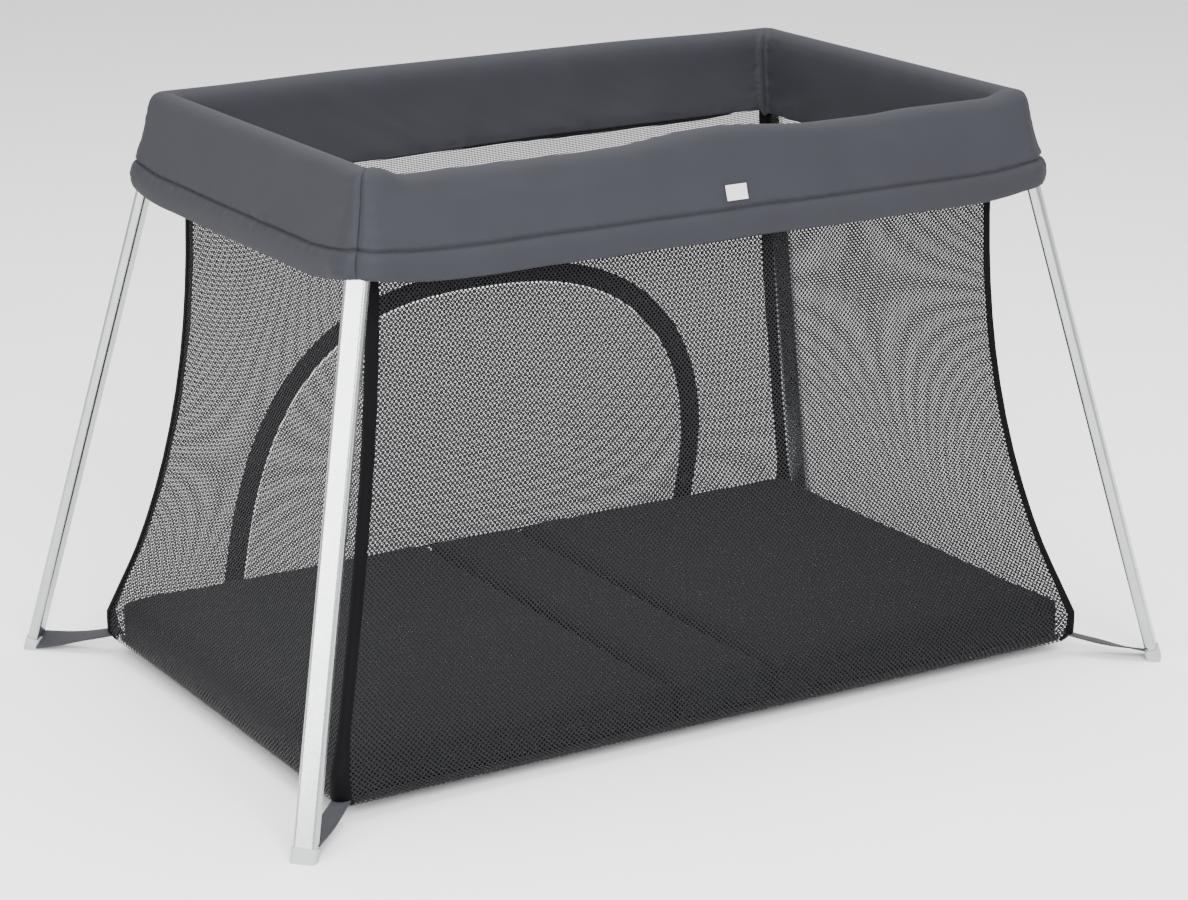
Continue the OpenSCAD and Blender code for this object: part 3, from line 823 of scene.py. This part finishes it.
def base_panel():
    """The stiffened cloth panel under the mattress."""
    low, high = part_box("base")
    inset = Vector((0.006, 0.006, 0))
    corner = 0.012
    obj = rounded_slab("base_cloth", low + inset, high - inset, (corner, corner), 0.0012)
    dress(obj, BASE_CLOTH)
    squashed(obj)
    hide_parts("base")


def plump(obj, cap, pressure=3.0):
    """Swells a cushion by cloth simulation, keeping each point within cap of where it was."""
    rest = np.array([v.co for v in obj.data.vertices])
    cloth = modifier(obj, "CLOTH")
    cloth.settings.use_pressure = True
    cloth.settings.uniform_pressure_force = pressure
    cloth.settings.effector_weights.gravity = 0
    cloth.settings.quality = 4
    scene = bpy.context.scene
    steps = 16
    cloth.point_cache.frame_start = 1
    cloth.point_cache.frame_end = steps
    for step in range(1, steps + 1):
        scene.frame_set(step)
    apply_modifiers(obj)
    scene.frame_set(1)
    moved = np.array([v.co for v in obj.data.vertices]) - rest
    size = np.linalg.norm(moved, axis=1, keepdims=True)
    moved *= np.minimum(1, cap / np.maximum(size, 1e-9))
    obj.data.vertices.foreach_set("co", (rest + moved).astype(np.float32).ravel())
    obj.data.update()


PAD_CORNER = 0.012
PAD_FOLD = 0.004
PAD_EDGE = 0.0045
PAD_SWELL = 0.0055


def mattress_panel(node):
    """One padded panel of the mattress, plump between its outer edges and its folds."""
    floor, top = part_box(node)
    ends = [PAD_CORNER if abs(x) > 0.3 else PAD_FOLD for x in (floor.x, top.x)]
    inset = Vector((0.0004, 0.0005, 0.0005))
    room_to_swell = Vector((0, 0, 0.003))
    obj = rounded_slab(node + "_pad", floor + inset, top - inset - room_to_swell, ends, PAD_EDGE)
    modifier(obj, "REMESH", mode="VOXEL", voxel_size=0.005, use_smooth_shade=True)
    apply_modifiers(obj)
    plump(obj, PAD_SWELL)
    for v in obj.data.vertices:
        v.co.z = min(max(v.co.z, floor.z), top.z + room_to_swell.z)
        v.co.x = min(max(v.co.x, floor.x + 0.0003), top.x - 0.0003)
    obj.data.shade_smooth()
    dress(obj, MATTRESS)
    squashed(obj)
    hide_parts(node)


base_panel()
for node in ("mattress_left", "mattress_middle", "mattress_right"):
    mattress_panel(node)


# ---------------------------------------------------------------- straps, label and zip
STRAP_STEPS = 40
STRAP_WIDTH = np.linspace(0.021, 0.030, STRAP_STEPS)
STRAP_THICKNESS = 0.0016


def straps():
    """Webbing from each corner of the bag to the foot of its leg. It stays with the bag when a leg folds."""
    up = Vector((0, 0, 1))
    for quadrant, sx, sy in QUADRANTS:
        corner = Vector([abs(c) for c in bag_point((sx, sy), (sx, sy), 0.5, 0.0, BAG_Z + 0.008)])
        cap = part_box("foot_cap_" + quadrant)
        foot = Vector((abs(cap[0].x + cap[1].x) / 2, abs(cap[0].y + cap[1].y) / 2, 0.008))
        out = (foot - corner).normalized()
        near, far = corner - out * 0.008, foot - out * 0.006
        points = [near, near.lerp(far, 0.3) - up * 0.0015, near.lerp(far, 0.7) - up * 0.002, far]
        path = spline([tuple(p) for p in points], STRAP_STEPS)
        across = Vector((out.y, -out.x, 0)).normalized()
        normals = []
        for t in np.linspace(0, 1, STRAP_STEPS):
            turn = math.radians(82 - 16 * smooth((t - 0.35) / 0.65))
            normals.append(tuple(across * math.cos(turn) + up * math.sin(turn)))
        flip = np.array((sx, sy, 1))
        strip = ribbon("strap_cloth_" + quadrant, path * flip, np.array(normals) * flip, STRAP_WIDTH,
                       STRAP_THICKNESS, WEBBING)
        if sx > 0:
            squashed(strip)
        else:
            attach(strip, "root")
        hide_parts("strap_" + quadrant)


def label_tab():
    """A small blank woven tab on the front cover."""
    low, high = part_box("label")
    grid = rim_grids["rim_front"]
    half = grid.shape[1] // 2
    rows = []
    for x in np.linspace(low.x, high.x, 14):
        row = []
        for z in np.linspace(low.z, high.z, 10):
            away = (grid[:, :half, 0] - x) ** 2 + (grid[:, :half, 2] - z) ** 2
            i, j = np.unravel_index(np.argmin(away), away.shape)
            around = grid[i, max(j - 3, 0):j + 4]
            slope = np.polyfit(around[:, 2], around[:, 1], 1)
            row.append((x, np.polyval(slope, z) - 0.0014, z))
        rows.append(row)
    obj = loft("label_tab", np.array(rows))
    modifier(obj, "SOLIDIFY", thickness=0.0007, offset=0.0, use_rim=True)
    modifier(obj, "BEVEL", width=0.00025, segments=2)
    apply_modifiers(obj)
    dress(obj, LABEL)
    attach(obj, "right_half")
    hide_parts("label")


def zip_metal(node, body):
    """The zip's metal, with its edges rounded off, following the bag as it folds."""
    obj = bpy.data.objects.new(node + "_metal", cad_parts[node].data.copy())
    bpy.context.scene.collection.objects.link(obj)
    modifier(obj, "BEVEL", width=0.0003, segments=2, limit_method="ANGLE", angle_limit=0.7)
    apply_modifiers(obj)
    dress(obj, STEEL)
    squashed(obj, body)
    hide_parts(node)


straps()
label_tab()
zip_metal("zip_slider", "root")
zip_metal("zip_pull", "pull")


# ---------------------------------------------------------------- floor, light and camera
LAMPS = [("key", (-1.3, -3.4, 2.6), (2.4, 2.4), 330),
         ("panel", (-2.75, -1.15, 0.95), (0.55, 1.2), 42),
         ("top", (0.2, 0.2, 4.0), (2.6, 2.6), 240)]


def floor():
    """A wide pale floor."""
    reach = 9
    corners = [(-reach, -reach, 0), (reach, -reach, 0), (reach, reach, 0), (-reach, reach, 0)]
    obj = new_object("floor", corners, [(0, 1, 2, 3)])
    n = Nodes("pale_floor")
    cloud = n.noise(n.place("Object", (1, 1, 1)), 3, 2)
    colour = n.ramp(cloud, [(0.3, (0.93, 0.93, 0.93)), (0.7, (0.95, 0.95, 0.95))])
    obj.data.materials.append(n.surface(colour, 0.9))


def light():
    """Soft light from all round, and three soft lamps that point at the playpen."""
    world = bpy.data.worlds.new("studio")
    bpy.context.scene.world = world
    world.use_nodes = True
    background = world.node_tree.nodes["Background"]
    background.inputs["Color"].default_value = (1, 1, 1, 1)
    background.inputs["Strength"].default_value = 1.1
    aim = Vector((0, 0, 0.3))
    for name, place, size, power in LAMPS:
        lamp = bpy.data.objects.new(name, bpy.data.lights.new(name, "AREA"))
        lamp.data.shape = "RECTANGLE"
        lamp.data.size, lamp.data.size_y = size
        lamp.data.energy = power
        lamp.location = place
        lamp.rotation_mode = "QUATERNION"
        lamp.rotation_quaternion = (aim - Vector(place)).to_track_quat("-Z", "Y")
        bpy.context.scene.collection.objects.link(lamp)


def camera():
    """The photograph's view: from the front left, a little above the top rail."""
    azimuth, elevation, roll = math.radians(-31.114), math.radians(16.914), math.radians(-0.139)
    level_back = Vector((math.sin(azimuth), -math.cos(azimuth), 0)) * math.cos(elevation)
    back = level_back + Vector((0, 0, math.sin(elevation)))
    data = bpy.data.cameras.new("camera")
    data.sensor_width = 36
    data.lens = 97.3
    data.clip_end = 60
    obj = bpy.data.objects.new("camera", data)
    obj.location = (-1.8128, -3.0135, 1.3157)
    obj.rotation_mode = "QUATERNION"
    level = (-back).to_track_quat("-Z", "Y")
    obj.rotation_quaternion = level @ Quaternion((0, 0, 1), roll)
    bpy.context.scene.collection.objects.link(obj)
    bpy.context.scene.camera = obj


floor()
light()
camera()
